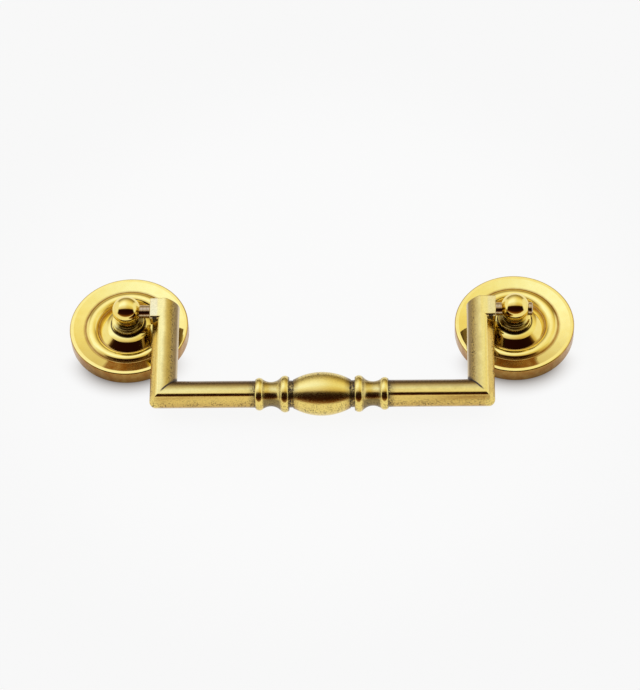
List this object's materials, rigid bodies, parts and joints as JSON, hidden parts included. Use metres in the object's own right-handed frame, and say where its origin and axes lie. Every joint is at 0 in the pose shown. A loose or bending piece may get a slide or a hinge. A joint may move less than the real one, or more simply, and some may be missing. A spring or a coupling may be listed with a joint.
{
  "type": "bail pull",
  "caption": "Drawer pull with a swinging bail: mitred arms and a baluster bar, hinged by pins in ball-headed posts on stepped round rosettes.",
  "frame": {"origin": "on the back mounting plane, midway between the two screw holes", "axes": "+X along the bar from the left post to the right one, +Z out of the drawer front, the bail hangs towards -Y"},
  "size_m": [0.1256, 0.0425, 0.0137],
  "materials": {
    "polished_brass": "polished, lacquered",
    "antique_brass": "satin, antiqued, dark in the crevices",
    "pin_steel": "plain"
  },
  "bodies": {
    "mounting": {"left_rosette": "polished_brass", "right_rosette": "polished_brass", "left_post": "polished_brass", "right_post": "polished_brass"},
    "swing": {"bail": "antique_brass", "left_pivot_pin": "pin_steel", "right_pivot_pin": "pin_steel"}
  },
  "joints": [
    {"name": "bail_swing", "type": "hinge", "parent": "mounting", "child": "swing", "pos_m": [0, 0, 0.0095], "axis": [-1, 0, 0], "range_deg": [0, 200]}
  ]
}
